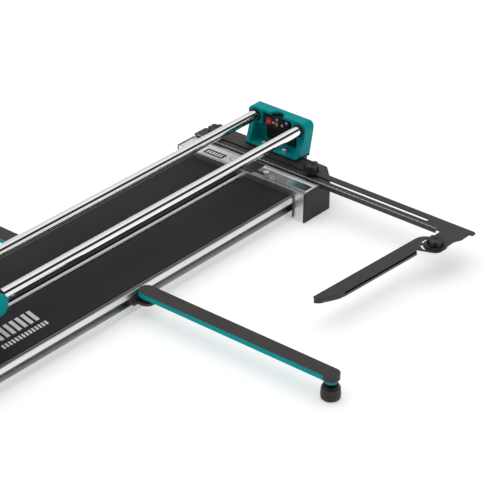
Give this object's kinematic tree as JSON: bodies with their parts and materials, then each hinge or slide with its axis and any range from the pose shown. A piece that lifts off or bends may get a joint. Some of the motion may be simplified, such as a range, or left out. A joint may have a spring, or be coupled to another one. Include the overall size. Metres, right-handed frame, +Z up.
{
  "type": "tile cutter",
  "caption": "Manual rail tile cutter: padded deck with breaker bar, twin chrome rails, scoring carriage with lever, swivelling side fence and fold-out supports.",
  "frame": {"origin": "on the bench, at the centre of the base, on the underside of the middle rest pad", "axes": "+X along the rails towards the end with the laser and fence, +Y to the back, +Z up"},
  "size_m": [1.2832, 1.102, 0.2994],
  "materials": {
    "teal_paint": "gloss",
    "aluminium": "satin anodised",
    "black_paint": "fine texture",
    "black_rubber": "matte",
    "black_plastic": "fine grain",
    "chrome": "polished",
    "steel": "zinc plated",
    "polished_steel": "polished",
    "red_plastic": "gloss",
    "brass": "turned",
    "label": "laminated",
    "carbide": "ground"
  },
  "bodies": {
    "base": {"front_side_rail": "aluminium", "rear_side_rail": "aluminium", "rail_spacers": "black_plastic", "centre_spine": "aluminium", "deck_panels": "black_paint", "front_pad": "black_rubber", "rear_pad": "black_rubber", "pad_edges": "black_rubber", "breaker_bar": "polished_steel", "far_beam": "aluminium", "near_beam": "aluminium", "top_plates": "black_paint", "scale_label": "label", "far_end_caps": "black_plastic", "near_end_caps": "black_plastic", "rest_pads": "black_rubber", "far_bracket": "teal_paint", "near_bracket": "teal_paint", "bracket_gaskets": "black_plastic", "front_rail": "chrome", "rear_rail": "chrome", "rail_collars": "black_rubber", "bracket_bolts": "steel", "rail_screws": "steel", "laser_housing": "black_plastic", "laser_screws": "steel", "laser_lens": "brass", "battery_cover": "black_plastic", "fence_studs": "steel"},
    "carriage": {"carriage_body": "teal_paint", "roller_axles": "steel", "guide_shoes": "black_plastic", "lever_pin": "steel"},
    "lever": {"lever_arm": "steel", "handle_grip": "black_rubber", "wheel_axle": "steel", "breaker_pin": "steel"},
    "scoring_wheel": {"scoring_wheel": "carbide"},
    "breaker_foot": {"breaker_foot": "teal_paint"},
    "laser_switch": {"laser_switch": "red_plastic"},
    "fence_bar": {"fence_bar": "black_paint", "pivot_bolt": "steel"},
    "swivel_arm": {"swivel_arm": "black_paint"},
    "pivot_knob": {"pivot_knob": "black_plastic"},
    "front_clamp_knob": {"front_clamp_knob": "black_plastic"},
    "rear_clamp_knob": {"rear_clamp_knob": "black_plastic"},
    "front_slider": {"front_slider": "black_paint", "front_pivot_pin": "steel"},
    "front_outrigger": {"front_outrigger_arm": "teal_paint", "front_outrigger_cover": "black_plastic"},
    "front_foot": {"front_outrigger_foot": "black_plastic"},
    "near_front_roller": {"near_front_roller": "polished_steel"},
    "far_front_roller": {"far_front_roller": "polished_steel"},
    "rear_slider": {"rear_slider": "black_paint", "rear_pivot_pin": "steel"},
    "rear_outrigger": {"rear_outrigger_arm": "teal_paint", "rear_outrigger_cover": "black_plastic"},
    "rear_foot": {"rear_outrigger_foot": "black_plastic"},
    "near_rear_roller": {"near_rear_roller": "polished_steel"},
    "far_rear_roller": {"far_rear_roller": "polished_steel"}
  },
  "joints": [
    {"name": "carriage_slide", "type": "slide", "parent": "base", "child": "carriage", "axis": [1, 0, 0], "range_m": [-0.226, 0.716]},
    {"name": "lever_hinge", "type": "hinge", "parent": "carriage", "child": "lever", "pos_m": [-0.204, 0, 0.141], "axis": [0, 1, 0], "range_deg": [-14, 30], "stiffness_Nm_per_rad": 3, "springref_deg": 22.92},
    {"name": "wheel_spin", "type": "hinge", "parent": "lever", "child": "scoring_wheel", "pos_m": [-0.259, 0, 0.0722], "axis": [0, 1, 0], "continuous": true},
    {"name": "foot_rock", "type": "hinge", "parent": "lever", "child": "breaker_foot", "pos_m": [-0.234, 0, 0.088], "axis": [0, 1, 0], "range_deg": [-8, 8]},
    {"name": "switch_rock", "type": "hinge", "parent": "base", "child": "laser_switch", "pos_m": [0.612, 0.0205, 0.112], "axis": [0, -1, 0], "range_deg": [0, 12]},
    {"name": "fence_slide", "type": "slide", "parent": "base", "child": "fence_bar", "axis": [0, 1, 0], "range_m": [-0.015, 0.235]},
    {"name": "fence_swing", "type": "hinge", "parent": "fence_bar", "child": "swivel_arm", "pos_m": [0.506, -0.436, 0.0598], "axis": [0, 0, 1], "range_deg": [-85, 45]},
    {"name": "pivot_knob_turn", "type": "hinge", "parent": "fence_bar", "child": "pivot_knob", "pos_m": [0.506, -0.436, 0.0618], "axis": [0, 0, 1], "continuous": true},
    {"name": "front_clamp_turn", "type": "hinge", "parent": "base", "child": "front_clamp_knob", "pos_m": [0.5675, -0.114, 0.0618], "axis": [0, 0, 1], "continuous": true},
    {"name": "rear_clamp_turn", "type": "hinge", "parent": "base", "child": "rear_clamp_knob", "pos_m": [0.5675, 0.114, 0.0618], "axis": [0, 0, 1], "continuous": true},
    {"name": "front_slider_slide", "type": "slide", "parent": "base", "child": "front_slider", "axis": [1, 0, 0], "range_m": [-0.543, 0.381]},
    {"name": "front_outrigger_swing", "type": "hinge", "parent": "front_slider", "child": "front_outrigger", "pos_m": [0.0815, -0.142, 0.0485], "axis": [0, 0, -1], "range_deg": [-86, 86]},
    {"name": "front_foot_turn", "type": "hinge", "parent": "front_outrigger", "child": "front_foot", "pos_m": [0.0815, -0.534, 0], "axis": [0, 0, 1], "continuous": true},
    {"name": "rear_slider_slide", "type": "slide", "parent": "base", "child": "rear_slider", "axis": [1, 0, 0], "range_m": [-0.522, 0.402]},
    {"name": "rear_outrigger_swing", "type": "hinge", "parent": "rear_slider", "child": "rear_outrigger", "pos_m": [0.06, 0.142, 0.0485], "axis": [0, 0, 1], "range_deg": [-86, 86]},
    {"name": "rear_foot_turn", "type": "hinge", "parent": "rear_outrigger", "child": "rear_foot", "pos_m": [0.06, 0.534, 0], "axis": [0, 0, 1], "continuous": true},
    {"name": "near_front_roller_spin", "type": "hinge", "parent": "carriage", "child": "near_front_roller", "pos_m": [-0.292, -0.051, 0.1383], "axis": [0, 1, 0], "continuous": true},
    {"name": "near_rear_roller_spin", "type": "hinge", "parent": "carriage", "child": "near_rear_roller", "pos_m": [-0.292, 0.051, 0.1383], "axis": [0, 1, 0], "continuous": true},
    {"name": "far_front_roller_spin", "type": "hinge", "parent": "carriage", "child": "far_front_roller", "pos_m": [-0.216, -0.051, 0.1383], "axis": [0, 1, 0], "continuous": true},
    {"name": "far_rear_roller_spin", "type": "hinge", "parent": "carriage", "child": "far_rear_roller", "pos_m": [-0.216, 0.051, 0.1383], "axis": [0, 1, 0], "continuous": true}
  ],
  "couplings": [
    {"joint": "near_front_roller_spin", "follows": "carriage_slide", "rad_per_m": 83.333},
    {"joint": "near_rear_roller_spin", "follows": "carriage_slide", "rad_per_m": 83.333},
    {"joint": "far_front_roller_spin", "follows": "carriage_slide", "rad_per_m": 83.333},
    {"joint": "far_rear_roller_spin", "follows": "carriage_slide", "rad_per_m": 83.333}
  ]
}
